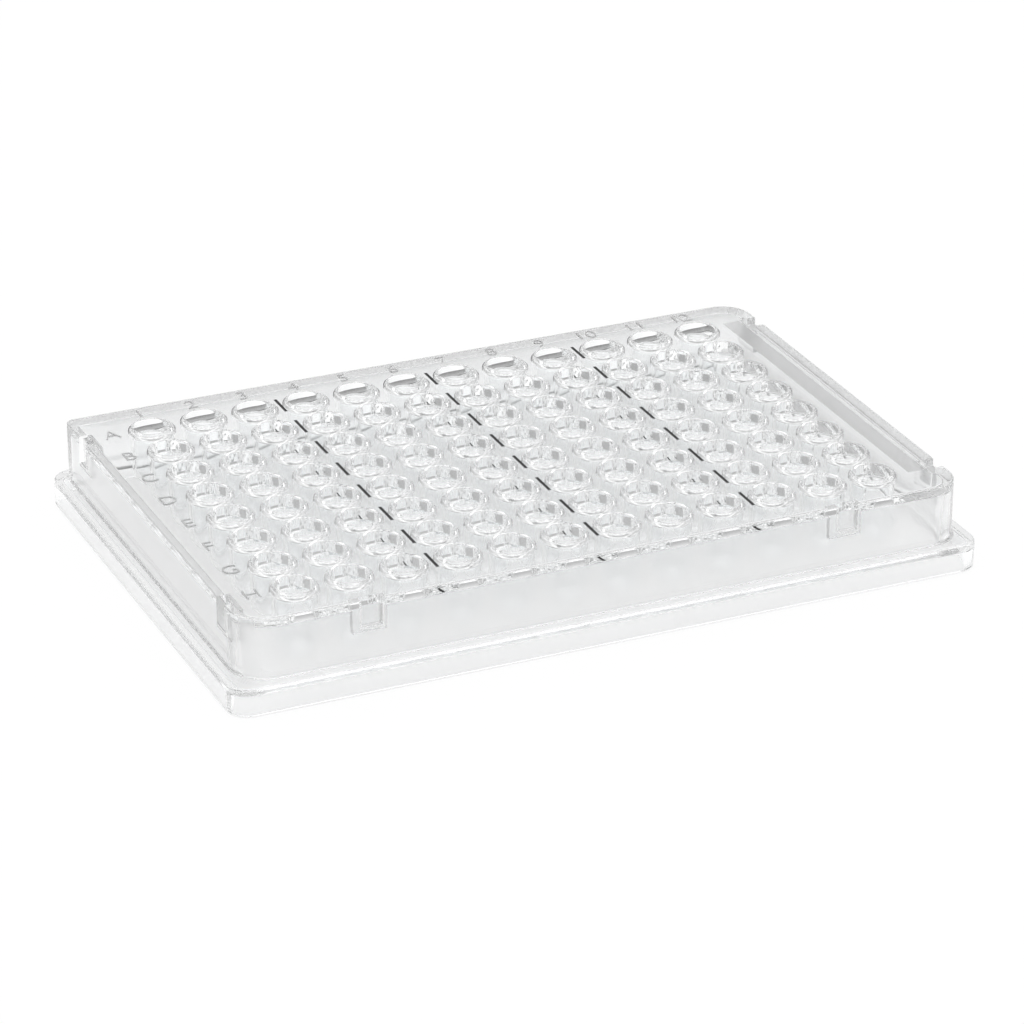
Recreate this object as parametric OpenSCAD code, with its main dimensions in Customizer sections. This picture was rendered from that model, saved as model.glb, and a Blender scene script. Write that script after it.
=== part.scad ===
// Multiwell plate: one clear moulding with a grid of round-bottomed wells
// hanging from a flat deck, a skirt with a stepped foot, small pockets in the
// skirt, and printed dashes between some of the columns.
// Frame: origin at the centre of the footprint on the bench, +Z up, X along
// the columns' numbers, row A at +Y, column 1 at -X.

/* [Well grid] */
// Number of columns along X
cols = 12; // [2:1:16]
// Number of rows along Y
rows = 8; // [2:1:12]
// Distance between the centres of neighbouring wells
pitch = 9; // [8.6:0.1:12]
// Distance from the foot's short side to the centre of the first column
edge_x = 14.38; // [13.5:0.01:20]
// Distance from the foot's long side to the centre of the first row
edge_y = 11.24; // [10.8:0.01:16]

/* [Foot and skirt] */
// Height of the foot's upright face
foot_h = 4.7; // [3:0.1:7]
// Thickness of the foot's upright face
foot_t = 1.4; // [1:0.1:2]
// Width of the ledge between the foot's face and the skirt
ledge_w = 2.4; // [1.2:0.1:3]
// Thickness of the ledge
ledge_t = 1.4; // [1:0.1:2]
// Thickness of the skirt wall
wall_t = 1.7; // [1:0.1:2.2]
// Corner radius of the foot
foot_r = 3.6; // [3:0.1:6]
// Corner radii of the skirt at wells A1, A12, H12 and H1
skirt_r = [1.4, 5.0, 5.0, 6.0]; // [1:0.1:8]
// Width of the small bevel along the upper edges of the deck and the foot
bevel = 0.35; // [0.1:0.05:0.6]

/* [Deck] */
// Height of the deck's upper face above the bench
deck_z = 14.65; // [13:0.05:20]
// Thickness of the deck
deck_t = 1.8; // [1:0.1:2.4]
// Width of the bare, slightly sunk label strip on the deck's right margin
strip_w = 3.2; // [2:0.1:4]
// Distance from the last column's centre to the strip
strip_gap = 5.6; // [4.8:0.1:6]
// Depth of the label strip
strip_d = 0.12; // [0.05:0.01:0.4]

/* [Wells] */
// Inner diameter of a well at its mouth
well_d = 6; // [4:0.1:7]
// Inner diameter of a well where its round bottom begins
well_low_d = 5.8; // [3.6:0.1:6]
// Depth of a well from the top of its rim
well_depth = 11.2; // [7:0.1:11.6]
// Thickness of a well's wall and floor
well_t = 0.6; // [0.5:0.05:0.8]
// Height of a well's rim above the deck
rim_h = 0.45; // [0.2:0.05:1]
// Width of the bevel inside the rim
rim_bevel = 0.25; // [0.05:0.05:0.35]
// Width of the rim's flat top
rim_land = 0.1; // [0.05:0.05:0.4]
// Width of the whole rim, with the collar that slopes down to the deck
collar_w = 0.8; // [0.5:0.1:1.2]

/* [Skirt pockets] */
// Length of a pocket along the skirt
pocket_w = 3.4; // [2:0.1:6]
// Depth of a pocket into the skirt
pocket_d = 1.5; // [0.6:0.1:1.8]
// Height of a pocket, measured down from the deck
pocket_h = 4.6; // [3:0.1:6]
// Thickness of the moulding round the inside of a pocket
pocket_t = 1.1; // [0.8:0.1:1.7]
// Columns, counted from each end, at which the front skirt has its pockets
pocket_col = 2; // [1:1:4]

/* [Printed dashes] */
// Columns after which a line of dashes is printed
mark_after = [3, 6, 9]; // [1:1:11]
// Length of one dash
mark_l = 5.1; // [2:0.1:7]
// Width of one dash
mark_w = 0.5; // [0.2:0.02:0.8]
// Thickness of the ink
mark_t = 0.04; // [0.02:0.01:0.1]
// Clearance between a dash and the collars beside it
mark_gap = 0.1; // [0:0.05:0.4]

/* [Hidden] */
$fn = 96;
cut = 1;                                    // how far a cutter runs past a face
foot_l = (cols - 1) * pitch + 2 * edge_x;
foot_w = (rows - 1) * pitch + 2 * edge_y;
skirt_l = foot_l - 2 * ledge_w;
skirt_w = foot_w - 2 * ledge_w;
first_x = -(cols - 1) * pitch / 2;
first_y = (rows - 1) * pitch / 2;
rim_z = deck_z + rim_h;
bowl_r = well_low_d / 2;
bowl_z = rim_z - well_depth + bowl_r;       // centre of the round bottom
neck_r = well_d / 2 + well_t;                // outside of a well under the deck
crest_r = well_d / 2 + rim_bevel + rim_land;
collar_r = min(well_d / 2 + collar_w, (pitch - mark_w) / 2 - mark_gap);
collar_sink = 0.1;                          // how far a collar reaches into the deck
pocket_z = deck_z - pocket_h;

// Rectangle centred on the origin whose corners, from -X+Y clockwise, have
// the four given radii.
module rounded_rect(l, w, radii) {
    spots = [[-1, 1], [1, 1], [1, -1], [-1, -1]];
    difference() {
        square([l, w], center = true);
        for (i = [0 : 3])
            translate([spots[i][0] * l / 2, spots[i][1] * w / 2])
                square(2 * radii[i], center = true);
    }
    for (i = [0 : 3])
        translate([spots[i][0] * (l / 2 - radii[i]), spots[i][1] * (w / 2 - radii[i])])
            circle(radii[i]);
}

// Upright block on the rounded rectangle.
module block(l, w, h, radii) {
    linear_extrude(h) rounded_rect(l, w, radii);
}

// Bar of triangular section that bevels one long upper edge of a block.
module bevel_bar(length, w, h, size) {
    translate([0, w / 2, h])
        rotate([45, 0, 0])
            cube([length, sqrt(2) * size, 2 * size], center = true);
}

// Block whose four straight upper edges are bevelled.
module bevelled_block(l, w, h, radii, size) {
    difference() {
        block(l, w, h, radii);
        for (side = [0, 180]) {
            rotate(side) bevel_bar(l + 2 * cut, w, h, size);
            rotate(side + 90) bevel_bar(w + 2 * cut, l, h, size);
        }
    }
}

// Inner radii of a hollow that keeps the wall's thickness round its corners.
function inner_radii(radii, t) = [for (r = radii) max(r - t, 0.5)];

// Solid envelope of foot and skirt.
module envelope() {
    bevelled_block(foot_l, foot_w, foot_h, [foot_r, foot_r, foot_r, foot_r], bevel);
    bevelled_block(skirt_l, skirt_w, deck_z, skirt_r, bevel);
}

// Hollow under the deck, wider inside the foot.
module underside() {
    foot_in = foot_r - foot_t;
    translate([0, 0, -cut])
        block(foot_l - 2 * foot_t, foot_w - 2 * foot_t, foot_h - ledge_t + cut,
              [foot_in, foot_in, foot_in, foot_in]);
    translate([0, 0, -cut])
        block(skirt_l - 2 * wall_t, skirt_w - 2 * wall_t, deck_z - deck_t + cut,
              inner_radii(skirt_r, wall_t));
}

// Places its children at every well centre.
module at_wells() {
    for (c = [0 : cols - 1], r = [0 : rows - 1])
        translate([first_x + c * pitch, first_y - r * pitch, 0]) children();
}

// Outside of one well, from its round bottom to the collar round its mouth.
module well_body() {
    translate([0, 0, bowl_z]) {
        sphere(bowl_r + well_t);
        cylinder(h = deck_z - deck_t / 2 - bowl_z, r1 = bowl_r + well_t, r2 = neck_r);
    }
    spread = (collar_r - crest_r) * (rim_h + collar_sink) / rim_h;
    translate([0, 0, deck_z - collar_sink])
        cylinder(h = rim_h + collar_sink, r1 = crest_r + spread, r2 = crest_r);
}

// Inside of one well, open at the top.
module well_bore() {
    translate([0, 0, bowl_z]) {
        sphere(bowl_r);
        cylinder(h = rim_z - bowl_z, r1 = bowl_r, r2 = well_d / 2);
    }
    translate([0, 0, rim_z - rim_bevel])
        cylinder(h = rim_bevel + cut, r1 = well_d / 2, r2 = well_d / 2 + rim_bevel + cut);
}

// Places its children at every pocket, with +Y pointing out of the skirt.
module at_pockets() {
    for (side = [-1, 1], y = [-first_y, first_y])
        translate([side * skirt_l / 2, y, 0]) rotate(-90 * side) children();
    for (side = [-1, 1])
        translate([-side * (first_x + (pocket_col - 1) * pitch), -skirt_w / 2, 0])
            rotate(180) children();
}

// Boss that keeps the moulding closed round the inside of a pocket.
module pocket_boss() {
    boss_w = pocket_w + 2 * pocket_t;
    translate([-boss_w / 2, -pocket_d - pocket_t, pocket_z - pocket_t])
        cube([boss_w, pocket_d + pocket_t - wall_t / 2,
              deck_z - deck_t / 2 - pocket_z + pocket_t]);
}

// Space that a pocket takes out of the skirt and the deck's edge.
module pocket_cut() {
    translate([-pocket_w / 2, -pocket_d, pocket_z])
        cube([pocket_w, pocket_d + cut, pocket_h + cut]);
}

// Sunk strip on the deck beyond the last column.
module label_strip() {
    strip_l = (rows - 1) * pitch + strip_w;
    translate([-first_x + strip_gap, -strip_l / 2, deck_z - strip_d])
        cube([strip_w, strip_l, strip_d + cut]);
}

module plate() {
    color([0.93, 0.95, 0.95, 0.55])
        difference() {
            union() {
                difference() {
                    envelope();
                    underside();
                }
                at_pockets() pocket_boss();
                at_wells() well_body();
            }
            at_wells() well_bore();
            at_pockets() pocket_cut();
            label_strip();
        }
}

// Dashes lie in the narrowest gap between two columns, one on each row.
module column_dashes() {
    color([0.06, 0.06, 0.07])
        for (c = [for (after = mark_after) if (after < cols) after], r = [0 : rows - 1])
            translate([first_x + (c - 0.5) * pitch, first_y - r * pitch, deck_z + mark_t / 2])
                cube([mark_w, mark_l, mark_t], center = true);
}

plate();
column_dashes();
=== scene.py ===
import math

import bmesh
import bpy
import numpy as np
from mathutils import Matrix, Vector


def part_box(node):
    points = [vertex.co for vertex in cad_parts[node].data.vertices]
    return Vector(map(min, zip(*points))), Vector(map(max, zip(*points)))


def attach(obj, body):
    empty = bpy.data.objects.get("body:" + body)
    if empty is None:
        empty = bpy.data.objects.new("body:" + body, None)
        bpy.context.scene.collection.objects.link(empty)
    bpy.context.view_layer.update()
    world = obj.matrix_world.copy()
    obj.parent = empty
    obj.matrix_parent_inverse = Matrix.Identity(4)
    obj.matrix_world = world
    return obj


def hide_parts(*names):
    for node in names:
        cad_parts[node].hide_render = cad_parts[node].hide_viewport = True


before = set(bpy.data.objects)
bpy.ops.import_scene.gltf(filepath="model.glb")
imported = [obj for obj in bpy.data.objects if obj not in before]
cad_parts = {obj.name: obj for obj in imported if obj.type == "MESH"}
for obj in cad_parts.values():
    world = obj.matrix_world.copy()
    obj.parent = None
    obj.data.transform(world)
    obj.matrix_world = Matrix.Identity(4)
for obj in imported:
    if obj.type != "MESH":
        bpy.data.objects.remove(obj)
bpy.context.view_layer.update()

bl_info = {
    "name": "Clear well plate",
    "version": (1, 0, 0),
    "blender": (4, 5, 0),
    "location": "3D View > Sidebar > Well Plate",
    "description": "Builds the clear moulding of a well plate round its packed solids",
    "category": "Add Mesh",
}

MM = 0.001
PLATE_LOW, PLATE_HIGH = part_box("plate")
FOOT_LENGTH = PLATE_HIGH.x - PLATE_LOW.x
FOOT_WIDTH = PLATE_HIGH.y - PLATE_LOW.y
RIM_HEIGHT = PLATE_HIGH.z
ROW_LETTERS = "ABCDEFGH"
FONT_SIZE_PER_HEIGHT = 1.35
# Points that round to the same multiple of this step are one point.
WELD_STEP = 1e-6
# Faces that meet at more than this angle, in degrees, keep a sharp edge.
SHARP_ANGLE = 35

# Width of a rim's flat top, and how sharply the collar steepens towards it.
RIM_LAND = 0.05 * MM
COLLAR_POWER = 2.5
COLLAR_STEPS = 6
# Radii where a well's outside meets the deck, along the foot's lower edges, and the
# least that a corner keeps when its rectangle is drawn in.
WELL_FILLET = 0.3 * MM
FOOT_LOW_ROUND = 0.2 * MM
LEAST_CORNER = 0.2 * MM

# The moulded faces' slow waves: how many to a metre, and how far they rise.
WAVE_SCALE = 140.0
WAVE_RISE = 0.02 * MM

# Heights above the horizon between which the tent grows brighter.
HORIZON_START = math.radians(5)
HORIZON_STOP = math.radians(75)
# Painted shadow on the floor round the foot: how far it reaches, the width over which it
# fades out beyond that, and the width over which it gives way to the painted shade inside the
# foot.
SHADE_REACH = 10 * MM
SHADE_BORDER = 15 * MM
INNER_BORDER = 1.5 * MM
# Greatest share of the floor's look that is its own glow. The rest is lit from above.
MOST_GLOW = 0.975
# How white and how dull the part of the floor is that is lit from above.
FLOOR_WHITE = 0.9
FLOOR_ROUGHNESS = 0.9
# Light crosses the clear walls and wells many times before it leaves the plate.
BOUNCES = 128
CLEAR_BOUNCES = 32


# Property helpers

def length(name, text, mm):
    """A size in the scene's metres, written in millimetres."""
    return bpy.props.FloatProperty(
        name=name, description=text, default=mm * MM, min=0.0, precision=5,
        unit="LENGTH", subtype="DISTANCE")


def amount(name, text, value, high=1.0):
    """A plain number from nought to high."""
    return bpy.props.FloatProperty(
        name=name, description=text, default=value, min=0.0, max=high)


def count(name, text, value, low, high):
    """A whole number."""
    return bpy.props.IntProperty(
        name=name, description=text, default=value, min=low, max=high)


def colour(name, text, value):
    """A linear colour."""
    return bpy.props.FloatVectorProperty(
        name=name, description=text, default=value, min=0.0, max=1.0,
        size=3, subtype="COLOR")


class WellSizes(bpy.types.PropertyGroup):
    """The grid of wells and the section of one of them."""
    columns: count("Columns", "Number of columns along X", 12, 2, 24)
    rows: count("Rows", "Number of rows along Y", 8, 2, 16)
    pitch: length("Pitch", "Distance between the centres of neighbouring wells", 9.0)
    mouth: length("Mouth", "Inner diameter of a well at its mouth", 6.0)
    low: length("Low diameter", "Inner diameter where the round bottom begins", 5.8)
    depth: length("Depth", "Depth of a well from the top of its rim", 11.2)
    wall: length("Wall", "Thickness of a well's wall and floor", 0.6)
    rim: length("Rim", "Height of a well's rim above the deck", 0.45)
    edge: length("Edge", "Radius that rounds a well's mouth", 0.28)
    collar: length("Collar", "Width of the slope from a rim down to the deck", 0.65)
    segments: count("Segments", "Points round a well, a multiple of eight", 32, 16, 64)


class SkirtSizes(bpy.types.PropertyGroup):
    """Deck, skirt, ledge and foot."""
    deck: length("Deck", "Thickness of the deck", 1.8)
    wall: length("Wall", "Thickness of the skirt's wall", 1.7)
    foot_height: length("Foot height", "Height of the foot's upright face", 4.7)
    foot_wall: length("Foot wall", "Thickness of the foot's upright face", 1.4)
    foot_corner: length("Foot corner", "Corner radius of the foot", 3.6)
    ledge_width: length("Ledge width", "From the foot's face to the skirt's", 2.4)
    ledge: length("Ledge", "Thickness of the ledge", 1.4)
    corner_a1: length("Corner A1", "Skirt's corner radius at well A1", 1.4)
    corner_a12: length("Corner A12", "Skirt's corner radius at the last column, row A", 5.0)
    corner_h12: length("Corner H12", "Skirt's corner radius at the last column, last row", 5.0)
    corner_h1: length("Corner H1", "Skirt's corner radius at column 1, last row", 6.0)
    deck_round: length("Deck rounding", "Radius along the deck's outer edge", 0.3)
    foot_round: length("Foot rounding", "Radius along the foot's upper edge", 0.45)
    root_round: length("Root rounding", "Radius where the skirt meets the ledge", 0.5)
    inner_round: length("Inner rounding", "Radius along the inner edges", 0.3)


class DetailSizes(bpy.types.PropertyGroup):
    """Pockets, label strip and moulded marks."""
    pocket_length: length("Pocket length", "Length of a pocket along the skirt", 3.4)
    pocket_depth: length("Pocket depth", "Depth of a pocket into the skirt", 1.5)
    pocket_height: length("Pocket height", "Height of a pocket below the deck", 4.6)
    pocket_wall: length("Pocket wall", "Thickness round the inside of a pocket", 1.1)
    pocket_column: count("Pocket column", "Column of the front pockets", 2, 1, 6)
    strip_gap: length("Strip gap", "From the last column's centre to the strip", 5.6)
    strip_width: length("Strip width", "Width of the bare label strip", 3.2)
    strip_depth: length("Strip depth", "How far the strip is sunk", 0.12)
    mark_height: length("Mark height", "Height of a moulded letter", 3.1)
    mark_relief: length("Mark relief", "How far a letter stands up", 0.2)
    mark_thinning: length("Mark thinning", "Taken off each side of a stroke", 0.07)
    letter_gap: length("Letter gap", "From column 1 to the row letters' centres", 7.0)
    number_gap: length("Number gap", "From row A to the column numbers' centres", 6.0)


class Finish(bpy.types.PropertyGroup):
    """Colours and gloss."""
    tint: colour("Plastic tint", "Colour of the clear plastic", (0.985, 0.99, 0.992))
    strip_tint: colour("Strip tint", "Colour of the sunk label strip", (0.8, 0.8, 0.8))
    mark_tint: colour("Mark tint", "Colour of the moulded letters", (0.6, 0.6, 0.6))
    ior: amount("Refraction", "Index of refraction of polystyrene", 1.59, 3.0)
    polish: amount("Roughness", "Roughness of the polished faces", 0.02)
    satin: amount("Satin", "Roughness of the sunk label strip and the letters", 0.35)
    inner: amount("Inner faces", "Roughness of the skirt's inner faces", 0.3)
    waviness: amount("Waviness", "Strength of the moulded faces' slow waves", 0.15)
    ink: colour("Ink", "Colour of the printed dashes", (0.012, 0.012, 0.013))


class StageSettings(bpy.types.PropertyGroup):
    """Floor, light and camera."""
    floor_size: length("Floor", "Side of the floor", 6000.0)
    floor_glow: amount("Floor glow", "Light of the floor round the plate", 0.97)
    # Painted shadow of the plate on the floor: the glow is turned down inside the foot and is
    # dark in a ring just outside it. Both are seen only through the clear plastic.
    painted_shadow_under_plate: amount("Glow under the plate", "Light of the floor inside the foot", 0.74)
    painted_shadow_round_foot: amount("Glow near the plate", "Light of the floor just outside the foot", 0.1)
    tent_light: amount("Tent light", "Strength of the tent overhead", 2.3, 4.0)
    horizon_light: amount("Horizon light", "Share of the light left at the horizon", 0.0)
    lens: bpy.props.FloatProperty(
        name="Lens", description="Focal length on a 36 mm sensor", default=155.5)
    distance: length("Distance", "From the camera to its target", 709.9)
    azimuth: bpy.props.FloatProperty(
        name="Azimuth", description="Camera's turn round the plate", subtype="ANGLE",
        default=math.radians(-24.2))
    elevation: bpy.props.FloatProperty(
        name="Elevation", description="Camera's height above the floor", subtype="ANGLE",
        default=math.radians(25.56))
    roll: bpy.props.FloatProperty(
        name="Roll", description="Camera's turn about its own axis", subtype="ANGLE",
        default=math.radians(0.16))
    target: bpy.props.FloatVectorProperty(
        name="Target", description="Point that the camera looks at", size=3,
        subtype="XYZ", default=(-2.2 * MM, -6.4 * MM, 7.0 * MM))


# Shapes worked out with numpy

def arc(centre, radius, start, stop, steps):
    """Points of a circular arc: the centre plus the radius times the cosine and sine
    of an angle that runs evenly from start to stop, in degrees."""
    a = np.radians(np.linspace(start, stop, steps + 1))
    return np.stack([centre[0] + radius * np.cos(a), centre[1] + radius * np.sin(a)], -1)


def quads(grid):
    """The four corners of every square of a grid of points, as triangles."""
    a, b = grid[:-1, :-1], grid[1:, :-1]
    c, d = grid[1:, 1:], grid[:-1, 1:]
    both = np.stack([np.stack([a, b, c], 2), np.stack([a, c, d], 2)])
    return both.reshape(-1, 3, 3)


def square_ring(half, segments):
    """Points of a square, one on each of the evenly spaced rays from its centre: the
    ray's direction divided by the larger of its two parts, times half a side."""
    a = np.arange(segments + 1) * 2 * np.pi / segments
    ray = np.stack([np.cos(a), np.sin(a)], -1)
    return half * ray / np.abs(ray).max(-1, keepdims=True)


def cell(profile, level, half, segments):
    """One well's face: rings turned about the well's axis from a profile of radius
    and height, joined outwards to the square of its cell at the given level."""
    a = np.arange(segments + 1) * 2 * np.pi / segments
    turn = np.stack([np.cos(a), np.sin(a)], -1)
    rings = np.empty((len(profile) + 1, segments + 1, 3))
    rings[0, :, :2] = square_ring(half, segments)
    rings[0, :, 2] = level
    rings[1:, :, :2] = profile[:, None, :1] * turn
    rings[1:, :, 2] = profile[:, 1:]
    return quads(rings[:, ::-1])


def at_wells(triangles, wells):
    """The same triangles at every well centre."""
    x = (np.arange(wells.columns) - (wells.columns - 1) / 2) * wells.pitch
    y = (np.arange(wells.rows) - (wells.rows - 1) / 2) * wells.pitch
    spots = np.zeros((len(x) * len(y), 3))
    spots[:, 0] = np.tile(x, len(y))
    spots[:, 1] = np.repeat(y, len(x))
    return (spots[:, None, None, :] + triangles).reshape(-1, 3, 3)


class Outline:
    """Stations round the plate, counter-clockwise from above. Each has a point of the
    wells' block that it starts from, and can be placed on any rounded rectangle: on a
    straight side at its own place along the side, in a corner at its own angle."""

    def __init__(self, wells, corner_steps):
        reach = np.array([wells.columns, wells.rows]) * wells.pitch / 2
        ray = square_ring(wells.pitch / 2, wells.segments)
        eighth = wells.segments // 8
        step = np.sort(np.concatenate([ray[-eighth - 1:-1, 1], ray[:eighth, 1]]))
        normals = np.array([[1, 0], [0, 1], [-1, 0], [0, -1]], float)
        rows = []
        for side, normal in enumerate(normals):
            along = np.array([-normal[1], normal[0]])
            cells = (wells.rows, wells.columns)[side % 2]
            middles = (np.arange(cells) - (cells - 1) / 2) * wells.pitch
            t = (middles[:, None] + step).ravel()
            t = np.append(t, middles[-1] + wells.pitch / 2)
            flat = np.zeros((len(t), 7))
            flat[:, 0:2] = normal
            flat[:, 2] = t
            flat[:, 3] = -1
            flat[:, 4:6] = normal * (reach @ np.abs(normal)) + t[:, None] * along
            flat[:, 6] = side
            turn = np.linspace(0, np.pi / 2, corner_steps + 1)
            bend = np.zeros((len(turn), 7))
            bend[:, 0:2] = np.cos(turn)[:, None] * normal + np.sin(turn)[:, None] * along
            bend[:, 3] = side
            bend[:, 4:6] = flat[-1, 4:6]
            bend[:, 6] = side
            rows += [flat, bend]
        table = np.concatenate(rows + [rows[0][:1]])
        self.normal = table[:, 0:2]
        self.t = table[:, 2]
        self.corner = table[:, 3].astype(int)
        self.start = table[:, 4:6]
        self.side = table[:, 6].astype(int)

    def place(self, size, radii, inset, height):
        """Points of the rounded rectangle of that size, drawn in by inset, with the
        corners' radii drawn in as well. Corner k lies between sides k and k + 1."""
        half = np.array(size) / 2 - inset
        radii = np.maximum(np.array(radii) - inset, LEAST_CORNER)
        signs = np.array([[1, 1], [-1, 1], [-1, -1], [1, -1]], float)
        centres = signs * (half - radii[:, None])
        out = np.empty((len(self.t), 3))
        out[:, 2] = height
        bent = self.corner >= 0
        k = self.corner[bent]
        out[bent, :2] = centres[k] + radii[k][:, None] * self.normal[bent]
        flat = ~bent
        n, side = self.normal[flat], self.side[flat]
        along = np.stack([-n[:, 1], n[:, 0]], -1)
        low = (centres[side - 1] * along).sum(-1)
        high = (centres[side] * along).sum(-1)
        t = np.clip(self.t[flat], low, high)
        out[flat, :2] = n * (np.abs(n) @ half)[:, None] + t[:, None] * along
        return out


def well_profiles(wells, skirt, deck_top):
    """Radius and height down the inside of a well from the deck, and down its outside
    from the deck's underside: a collar whose height grows with a power of the way up
    its slope, arcs for the mouth's edge and the bottoms, lines between."""
    mouth, low, wall, edge = wells.mouth / 2, wells.low / 2, wells.wall, wells.edge
    top = deck_top + wells.rim
    neck = mouth + wall
    bowl = top - wells.depth + low
    climb = np.linspace(0, 1, COLLAR_STEPS + 1)
    collar = np.stack([mouth + edge + RIM_LAND + wells.collar * (1 - climb),
                       deck_top + wells.rim * climb ** COLLAR_POWER], -1)
    inside = np.concatenate([
        collar,
        arc((mouth + edge, top - edge), edge, 90, 180, 2),
        arc((0, bowl), low, 0, -90, 7)])
    inside[-1, 0] = 0
    under = deck_top - skirt.deck
    outside = np.concatenate([
        arc((neck + WELL_FILLET, under - WELL_FILLET), WELL_FILLET, 90, 180, 1),
        arc((0, bowl), low + wall, 0, -90, 5)])
    outside[-1, 0] = 0
    return inside, outside


def perimeter(wells, skirt, deck_top):
    """From the wells' block over the deck's edge, down the skirt, round the foot and
    back under the deck: one profile of insets and heights carried round the plate."""
    outline = Outline(wells, 10)
    skirt_size = (FOOT_LENGTH - 2 * skirt.ledge_width, FOOT_WIDTH - 2 * skirt.ledge_width)
    skirt_radii = (skirt.corner_a12, skirt.corner_a1, skirt.corner_h1, skirt.corner_h12)
    foot_size = (FOOT_LENGTH, FOOT_WIDTH)
    foot_radii = (skirt.foot_corner,) * 4
    under = deck_top - skirt.deck
    ledge_low = skirt.foot_height - skirt.ledge
    d, f = skirt.deck_round, skirt.foot_round
    r, i, b = skirt.root_round, skirt.inner_round, FOOT_LOW_ROUND
    upper = np.concatenate([
        arc((d, deck_top - d), d, 90, 180, 4),
        arc((-r, skirt.foot_height + r), r, 0, -90, 4)])
    outer = np.concatenate([
        arc((f, skirt.foot_height - f), f, 90, 180, 4),
        arc((b, b), b, 180, 270, 2),
        arc((skirt.foot_wall - b, b), b, 270, 360, 2),
        arc((skirt.foot_wall + i, ledge_low - i), i, 180, 90, 2)])
    inner = np.concatenate([
        arc((skirt.wall - i, ledge_low + i), i, -90, 0, 2),
        arc((skirt.wall + i, under - i), i, 180, 90, 2)])
    loops = [np.column_stack([outline.start, np.full(len(outline.t), deck_top)])]
    loops += [outline.place(skirt_size, skirt_radii, inset, z) for inset, z in upper]
    loops += [outline.place(foot_size, foot_radii, inset, z) for inset, z in outer]
    loops += [outline.place(skirt_size, skirt_radii, inset, z) for inset, z in inner]
    loops += [np.column_stack([outline.start, np.full(len(outline.t), under)])]
    return quads(np.stack(loops))


def weld(triangles):
    """Points and faces of a heap of triangles, with equal points made one and the
    triangles that have no area left out."""
    flat = np.round(triangles.reshape(-1, 3) / WELD_STEP).astype(np.int64)
    _, first, back = np.unique(flat, axis=0, return_index=True, return_inverse=True)
    faces = back.reshape(-1, 3)
    kept = ((faces[:, 0] != faces[:, 1]) & (faces[:, 1] != faces[:, 2])
            & (faces[:, 2] != faces[:, 0]))
    return triangles.reshape(-1, 3)[first], faces[kept]


def block(low, high):
    """The twelve triangles of an upright box."""
    low, high = np.array(low), np.array(high)
    pick = np.array([[0, 0, 0], [1, 0, 0], [1, 1, 0], [0, 1, 0],
                     [0, 0, 1], [1, 0, 1], [1, 1, 1], [0, 1, 1]])
    corner = low + pick * (high - low)
    face = np.array([[0, 3, 2, 1], [4, 5, 6, 7], [0, 1, 5, 4],
                     [1, 2, 6, 5], [2, 3, 7, 6], [3, 0, 4, 7]])
    return corner[np.concatenate([face[:, [0, 1, 2]], face[:, [0, 2, 3]]])]


# Meshes and materials

def make_piece(name, triangles, material):
    """A new object from a heap of triangles."""
    points, faces = weld(triangles)
    mesh = bpy.data.meshes.new(name)
    mesh.from_pydata(points.tolist(), [], faces.tolist())
    mesh.materials.append(material)
    piece = bpy.data.objects.new(name, mesh)
    bpy.context.scene.collection.objects.link(piece)
    return piece


def combine(piece, tool, operation):
    """Adds the tool's solid to the piece or takes it away, and removes the tool."""
    modifier = piece.modifiers.new("combine", "BOOLEAN")
    modifier.operation = operation
    modifier.solver = "MANIFOLD"
    modifier.object = tool
    modifier.material_mode = "TRANSFER"
    apply_modifiers(piece)
    bpy.data.objects.remove(tool)


def face_outwards(piece):
    """Turns every face of a closed piece outwards."""
    shape = bmesh.new()
    shape.from_mesh(piece.data)
    bmesh.ops.recalc_face_normals(shape, faces=shape.faces)
    shape.to_mesh(piece.data)
    shape.free()


def apply_modifiers(piece):
    """Puts the mesh that the modifiers give into the piece, and drops them."""
    graph = bpy.context.evaluated_depsgraph_get()
    mesh = bpy.data.meshes.new_from_object(piece.evaluated_get(graph))
    piece.modifiers.clear()
    old, piece.data = piece.data, mesh
    bpy.data.meshes.remove(old)
    mesh.name = piece.name


def smooth(piece):
    """Smooth shading with sharp edges past an angle, and each point's normal weighted
    by the area of its faces, so that the broad faces stay flat."""
    mesh = piece.data
    mesh.polygons.foreach_set("use_smooth", np.ones(len(mesh.polygons), bool))
    mesh.set_sharp_from_angle(angle=math.radians(SHARP_ANGLE))
    weighted = piece.modifiers.new("weighted", "WEIGHTED_NORMAL")
    weighted.mode = "FACE_AREA"
    weighted.weight = 50
    weighted.keep_sharp = True
    apply_modifiers(piece)


def nodes_of(material):
    """The material's node tree with a fresh Principled shader in it."""
    material.use_nodes = True
    tree = material.node_tree
    tree.nodes.clear()
    shader = tree.nodes.new("ShaderNodeBsdfPrincipled")
    output = tree.nodes.new("ShaderNodeOutputMaterial")
    tree.links.new(shader.outputs[0], output.inputs["Surface"])
    return tree, shader, output


def clear_plastic(name, finish, roughness, tint):
    """Clear polystyrene: it bends light as the real one does, and its faces carry the
    slow waves of a moulding."""
    material = bpy.data.materials.new(name)
    tree, shader, _ = nodes_of(material)
    shader.inputs["Base Color"].default_value = (*tint, 1)
    shader.inputs["Transmission Weight"].default_value = 1.0
    shader.inputs["IOR"].default_value = finish.ior
    shader.inputs["Roughness"].default_value = roughness
    place = tree.nodes.new("ShaderNodeTexCoord")
    wave = tree.nodes.new("ShaderNodeTexNoise")
    wave.inputs["Scale"].default_value = WAVE_SCALE
    wave.inputs["Detail"].default_value = 1.0
    tree.links.new(place.outputs["Object"], wave.inputs["Vector"])
    bump = tree.nodes.new("ShaderNodeBump")
    bump.inputs["Strength"].default_value = finish.waviness
    bump.inputs["Distance"].default_value = WAVE_RISE
    tree.links.new(wave.outputs["Fac"], bump.inputs["Height"])
    tree.links.new(bump.outputs["Normal"], shader.inputs["Normal"])
    return material


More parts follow.
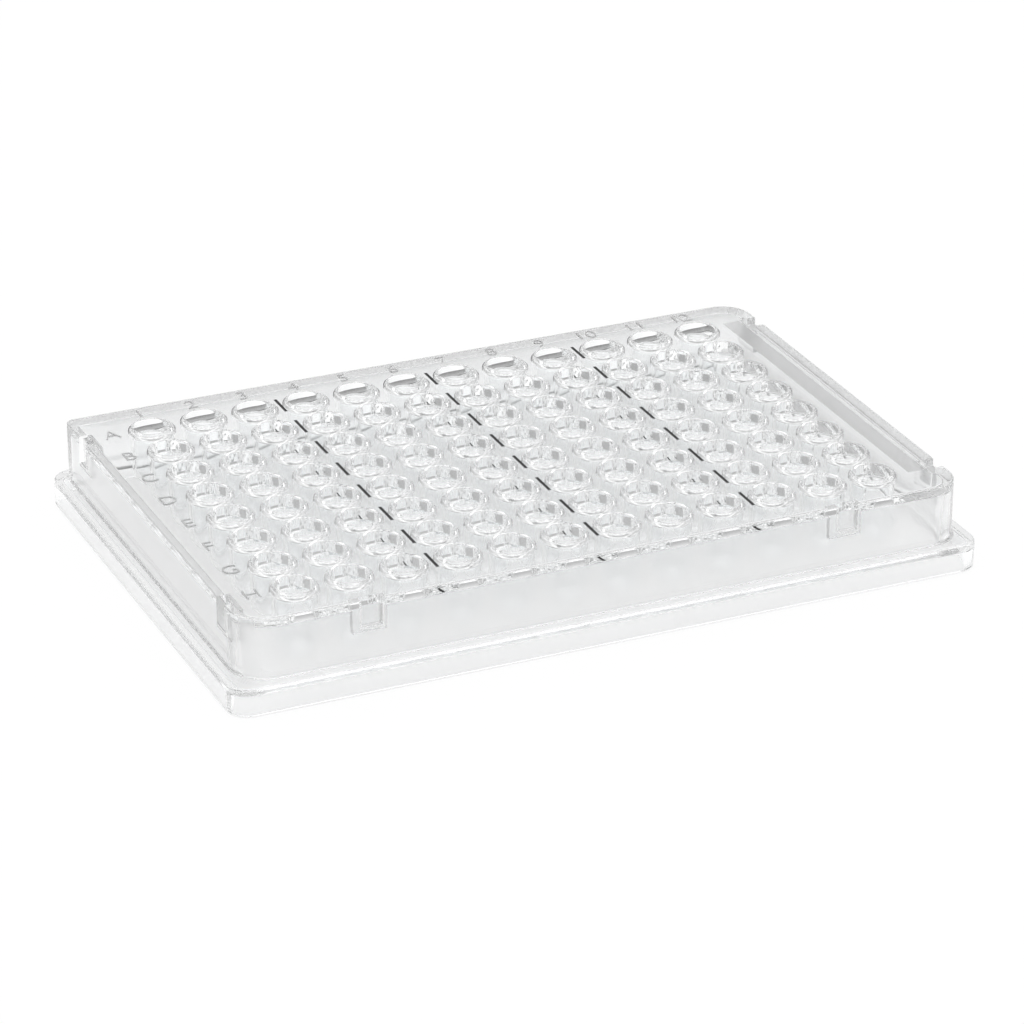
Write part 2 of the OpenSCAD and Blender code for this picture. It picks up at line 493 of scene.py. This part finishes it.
def calculate(tree, operation, *values):
    """What one math node gives for sockets and plain numbers."""
    node = tree.nodes.new("ShaderNodeMath")
    node.operation = operation
    for socket, value in zip(node.inputs, values):
        if isinstance(value, bpy.types.NodeSocket):
            tree.links.new(value, socket)
        else:
            socket.default_value = value
    return node.outputs[0]


def fade(tree, value, start, stop, before, after):
    """Runs smoothly from one result before a value to another after it."""
    ramp = tree.nodes.new("ShaderNodeMapRange")
    ramp.interpolation_type = "SMOOTHSTEP"
    ramp.inputs["From Min"].default_value = start
    ramp.inputs["From Max"].default_value = stop
    ramp.inputs["To Min"].default_value = before
    ramp.inputs["To Max"].default_value = after
    tree.links.new(value, ramp.inputs["Value"])
    return ramp.outputs[0]


def beside(tree, place, edge, border):
    """One between minus and plus the edge, nought beyond it, with a soft border."""
    return fade(tree, calculate(tree, "ABSOLUTE", place), edge, edge + border, 1.0, 0.0)


def blend(tree, share, first, second):
    """The first value, the second one where the share is one, a mix between."""
    return calculate(tree, "ADD",
                     calculate(tree, "MULTIPLY", share, second),
                     calculate(tree, "MULTIPLY", calculate(tree, "SUBTRACT", 1.0, share), first))


def printed_ink(finish):
    """Flat black ink."""
    material = bpy.data.materials.new("black_ink")
    _, shader, _ = nodes_of(material)
    shader.inputs["Base Color"].default_value = (*finish.ink, 1)
    shader.inputs["Roughness"].default_value = 0.5
    return material


def glyph(body, detail, centre, floor):
    """One moulded character as a closed solid, half of it sunk in the deck."""
    curve = bpy.data.curves.new("mark", "FONT")
    curve.body = body
    curve.size = detail.mark_height * FONT_SIZE_PER_HEIGHT
    curve.offset = -detail.mark_thinning
    curve.align_x = "CENTER"
    curve.align_y = "CENTER"
    curve.resolution_u = 3
    curve.extrude = detail.mark_relief
    text = bpy.data.objects.new("mark", curve)
    bpy.context.scene.collection.objects.link(text)
    graph = bpy.context.evaluated_depsgraph_get()
    mesh = bpy.data.meshes.new_from_object(text.evaluated_get(graph))
    mesh.calc_loop_triangles()
    points = np.empty(len(mesh.vertices) * 3)
    mesh.vertices.foreach_get("co", points)
    corners = np.empty(len(mesh.loop_triangles) * 3, int)
    mesh.loop_triangles.foreach_get("vertices", corners)
    bpy.data.objects.remove(text)
    points = points.reshape(-1, 3)
    middle = (points.min(0) + points.max(0)) / 2
    middle[2] = 0
    points = points - middle + np.array([centre[0], centre[1], floor])
    return points[corners.reshape(-1, 3)]


# Operators

class WELLPLATE_OT_moulding(bpy.types.Operator):
    """The clear moulding: deck, wells, skirt, foot, pockets, label strip and marks"""
    bl_idname = "wellplate.moulding"
    bl_label = "Clear moulding"

    def execute(self, context):
        wells = context.scene.plate_wells
        skirt = context.scene.plate_skirt
        detail = context.scene.plate_details
        finish = context.scene.plate_finish
        deck_top = RIM_HEIGHT - wells.rim
        clear = clear_plastic("clear_polystyrene", finish, finish.polish, finish.tint)
        inner = clear_plastic("satin_inside", finish, finish.inner, finish.tint)
        satin = clear_plastic("satin_strip", finish, finish.satin, finish.strip_tint)
        raised = clear_plastic("raised_marks", finish, finish.satin, finish.mark_tint)
        inside, outside = well_profiles(wells, skirt, deck_top)
        half = wells.pitch / 2
        top = cell(inside, deck_top, half, wells.segments)
        low = cell(outside, deck_top - skirt.deck, half, wells.segments)[:, ::-1]
        heap = np.concatenate([
            at_wells(top, wells), at_wells(low, wells), perimeter(wells, skirt, deck_top)])
        plate = make_piece("clear_plate", heap, clear)
        first_x = (wells.columns - 1) * wells.pitch / 2
        first_y = (wells.rows - 1) * wells.pitch / 2
        heap = self.marks(wells, detail, first_x, first_y, deck_top)
        marks = make_piece("marks", heap, raised)
        face_outwards(marks)
        combine(plate, marks, "UNION")
        self.cut_pockets(plate, skirt, detail, wells, first_x, first_y, deck_top, clear)
        strip_half = first_y + detail.strip_width / 2
        strip = block(
            (first_x + detail.strip_gap, -strip_half, deck_top - detail.strip_depth),
            (first_x + detail.strip_gap + detail.strip_width, strip_half, deck_top + MM))
        combine(plate, make_piece("strip", strip, satin), "DIFFERENCE")
        self.finish_inside(plate, wells, skirt, deck_top, inner)
        smooth(plate)
        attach(plate, "root")
        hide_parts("plate")
        return {"FINISHED"}

    def finish_inside(self, plate, wells, skirt, deck_top, material):
        """Gives the skirt's inner faces their own finish: they lie outside the wells'
        block, inside the middle of the skirt's wall, and below the deck."""
        mesh = plate.data
        mesh.materials.append(material)
        middles = np.empty(len(mesh.polygons) * 3)
        mesh.polygons.foreach_get("center", middles)
        middles = np.abs(middles.reshape(-1, 3))
        slots = np.empty(len(mesh.polygons), int)
        mesh.polygons.foreach_get("material_index", slots)
        reach = np.array([wells.columns, wells.rows]) * wells.pitch / 2
        inset = skirt.ledge_width + skirt.wall / 2
        wall = np.array([FOOT_LENGTH, FOOT_WIDTH]) / 2 - inset
        inside = (middles[:, :2] < wall).all(1) & (middles[:, :2] > reach).any(1)
        under = middles[:, 2] < deck_top - skirt.deck - skirt.inner_round / 2
        slots[inside & under] = len(mesh.materials) - 1
        mesh.polygons.foreach_set("material_index", slots)

    def marks(self, wells, detail, first_x, first_y, deck_top):
        """Row letters down the left margin and column numbers along the back."""
        found = []
        for row in range(wells.rows):
            spot = (-first_x - detail.letter_gap, first_y - row * wells.pitch)
            found.append(glyph(ROW_LETTERS[row], detail, spot, deck_top))
        for column in range(wells.columns):
            spot = (-first_x + column * wells.pitch, first_y + detail.number_gap)
            found.append(glyph(str(column + 1), detail, spot, deck_top))
        return np.concatenate(found)

    def cut_pockets(self, plate, skirt, detail, wells, first_x, first_y, deck_top, clear):
        """Bosses inside the skirt, then the pockets that they wrap."""
        half_l = FOOT_LENGTH / 2 - skirt.ledge_width
        half_w = FOOT_WIDTH / 2 - skirt.ledge_width
        front_x = first_x - (detail.pocket_column - 1) * wells.pitch
        spots = [(side, 0, side * half_l, y) for side in (-1, 1) for y in (-first_y, first_y)]
        spots += [(0, -1, x, -half_w) for x in (-front_x, front_x)]
        low = deck_top - detail.pocket_height
        boss_half = detail.pocket_length / 2 + detail.pocket_wall
        boss_depth = detail.pocket_depth + detail.pocket_wall
        for name, half, deep, proud, z0, z1, operation in (
                ("boss", boss_half, boss_depth, -skirt.wall / 2,
                 low - detail.pocket_wall, deck_top - skirt.deck / 2, "UNION"),
                ("pocket", detail.pocket_length / 2, detail.pocket_depth, MM,
                 low, deck_top + MM, "DIFFERENCE")):
            heap = []
            for nx, ny, x, y in spots:
                a = np.array([x - nx * deep - abs(ny) * half, y - ny * deep - abs(nx) * half])
                b = np.array([x + nx * proud + abs(ny) * half, y + ny * proud + abs(nx) * half])
                low_corner, high_corner = np.minimum(a, b), np.maximum(a, b)
                heap.append(block((*low_corner, z0), (*high_corner, z1)))
            combine(plate, make_piece(name, np.concatenate(heap), clear), operation)


class WELLPLATE_OT_dashes(bpy.types.Operator):
    """The printed dashes between the groups of columns"""
    bl_idname = "wellplate.dashes"
    bl_label = "Printed dashes"

    def execute(self, context):
        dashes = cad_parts["column_dashes"]
        ink = printed_ink(context.scene.plate_finish)
        for slot in range(max(1, len(dashes.material_slots))):
            if not dashes.material_slots:
                dashes.data.materials.append(ink)
            dashes.material_slots[slot].material = ink
        return {"FINISHED"}


class WELLPLATE_OT_stage(bpy.types.Operator):
    """White floor, tent of light and the camera"""
    bl_idname = "wellplate.stage"
    bl_label = "Stage"

    def execute(self, context):
        stage = context.scene.plate_stage
        self.floor(stage)
        self.dome(context.scene, stage)
        self.camera(context.scene, stage)
        context.scene.view_settings.view_transform = "Standard"
        context.scene.cycles.max_bounces = BOUNCES
        context.scene.cycles.transmission_bounces = BOUNCES
        context.scene.cycles.glossy_bounces = BOUNCES
        context.scene.cycles.transparent_max_bounces = CLEAR_BOUNCES
        return {"FINISHED"}

    def floor(self, stage):
        """A broad flat sheet under the foot. It glows: white to the camera, and to the light
        inside the clear plate a little dimmer under the plate and dark round it, a painted
        shadow of the plate."""
        half = stage.floor_size / 2
        grid = np.array([[[-half, -half, 0], [-half, half, 0]],
                         [[half, -half, 0], [half, half, 0]]])
        material = bpy.data.materials.new("floor")
        tree, shader, output = nodes_of(material)
        shader.inputs["Base Color"].default_value = (*[FLOOR_WHITE] * 3, 1)
        shader.inputs["Roughness"].default_value = FLOOR_ROUGHNESS
        shader.inputs["Specular IOR Level"].default_value = 0.0
        place = tree.nodes.new("ShaderNodeTexCoord")
        split = tree.nodes.new("ShaderNodeSeparateXYZ")
        tree.links.new(place.outputs["Object"], split.inputs[0])
        glow_with_painted_shadow = stage.floor_glow
        # Painted shadow: the glow is turned down under the plate, and is darker still in a ring
        # round the foot.
        for reach, border, level in ((SHADE_REACH, SHADE_BORDER, stage.painted_shadow_round_foot),
                                     (0, INNER_BORDER, stage.painted_shadow_under_plate)):
            inside = calculate(
                tree, "MULTIPLY",
                beside(tree, split.outputs[0], FOOT_LENGTH / 2 + reach, border),
                beside(tree, split.outputs[1], FOOT_WIDTH / 2 + reach, border))
            glow_with_painted_shadow = blend(tree, inside, glow_with_painted_shadow, level)
        path = tree.nodes.new("ShaderNodeLightPath")
        share = calculate(tree, "MAXIMUM", path.outputs["Is Camera Ray"], glow_with_painted_shadow)
        share = calculate(tree, "MINIMUM", share, MOST_GLOW)
        white = tree.nodes.new("ShaderNodeEmission")
        white.inputs["Color"].default_value = (1, 1, 1, 1)
        white.inputs["Strength"].default_value = 1.0
        mix = tree.nodes.new("ShaderNodeMixShader")
        tree.links.new(share, mix.inputs[0])
        tree.links.new(shader.outputs[0], mix.inputs[1])
        tree.links.new(white.outputs[0], mix.inputs[2])
        tree.links.new(mix.outputs[0], output.inputs["Surface"])
        floor = make_piece("floor", quads(grid), material)

    def dome(self, scene, stage):
        """A tent of light, dark at the horizon and brightest overhead, so that the walls
        and wells show their edges. To the camera itself it is white."""
        world = bpy.data.worlds.new("tent")
        scene.world = world
        world.use_nodes = True
        tree = world.node_tree
        tree.nodes.clear()
        place = tree.nodes.new("ShaderNodeTexCoord")
        split = tree.nodes.new("ShaderNodeSeparateXYZ")
        tree.links.new(place.outputs["Generated"], split.inputs[0])
        height = calculate(tree, "ARCSINE", split.outputs[2])
        horizon = fade(tree, height, HORIZON_START, HORIZON_STOP, stage.horizon_light, 1.0)
        light = calculate(tree, "MULTIPLY", horizon, stage.tent_light)
        path = tree.nodes.new("ShaderNodeLightPath")
        light = calculate(tree, "MAXIMUM", light, path.outputs["Is Camera Ray"])
        sky = tree.nodes.new("ShaderNodeBackground")
        sky.inputs["Color"].default_value = (1, 1, 1, 1)
        tree.links.new(light, sky.inputs["Strength"])
        output = tree.nodes.new("ShaderNodeOutputWorld")
        tree.links.new(sky.outputs[0], output.inputs["Surface"])

    def camera(self, scene, stage):
        """A camera at the set distance, turn and height from its target."""
        a, e, roll = stage.azimuth, stage.elevation, stage.roll
        back = np.array([math.sin(a) * math.cos(e), -math.cos(a) * math.cos(e), math.sin(e)])
        right = np.array([math.cos(a), math.sin(a), 0.0])
        up = np.cross(back, right)
        turned = right * math.cos(roll) + up * math.sin(roll)
        up = np.cross(back, turned)
        data = bpy.data.cameras.new("camera")
        data.lens = stage.lens
        data.sensor_width = 36.0
        data.clip_end = 20.0
        camera = bpy.data.objects.new("camera", data)
        scene.collection.objects.link(camera)
        spot = np.array(stage.target) + back * stage.distance
        matrix = np.eye(4)
        matrix[:3, 0], matrix[:3, 1], matrix[:3, 2], matrix[:3, 3] = turned, up, back, spot
        camera.matrix_world = matrix.T
        scene.camera = camera


class WELLPLATE_PT_panel(bpy.types.Panel):
    """Lists the plate's pieces"""
    bl_idname = "WELLPLATE_PT_panel"
    bl_label = "Well Plate"
    bl_space_type = "VIEW_3D"
    bl_region_type = "UI"
    bl_category = "Well Plate"

    def draw(self, context):
        for operator in STEPS:
            self.layout.operator(operator.bl_idname)


GROUPS = {
    "plate_wells": WellSizes,
    "plate_skirt": SkirtSizes,
    "plate_details": DetailSizes,
    "plate_finish": Finish,
    "plate_stage": StageSettings,
}
STEPS = (WELLPLATE_OT_moulding, WELLPLATE_OT_dashes, WELLPLATE_OT_stage)


def register():
    for group in GROUPS.values():
        bpy.utils.register_class(group)
    for step in STEPS:
        bpy.utils.register_class(step)
    bpy.utils.register_class(WELLPLATE_PT_panel)
    for name, group in GROUPS.items():
        setattr(bpy.types.Scene, name, bpy.props.PointerProperty(type=group))


def unregister():
    for name in GROUPS:
        delattr(bpy.types.Scene, name)
    bpy.utils.unregister_class(WELLPLATE_PT_panel)
    for step in reversed(STEPS):
        bpy.utils.unregister_class(step)
    for group in reversed(GROUPS.values()):
        bpy.utils.unregister_class(group)


def main():
    register()
    bpy.ops.wellplate.moulding()
    bpy.ops.wellplate.dashes()
    bpy.ops.wellplate.stage()


if __name__ == "__main__":
    main()
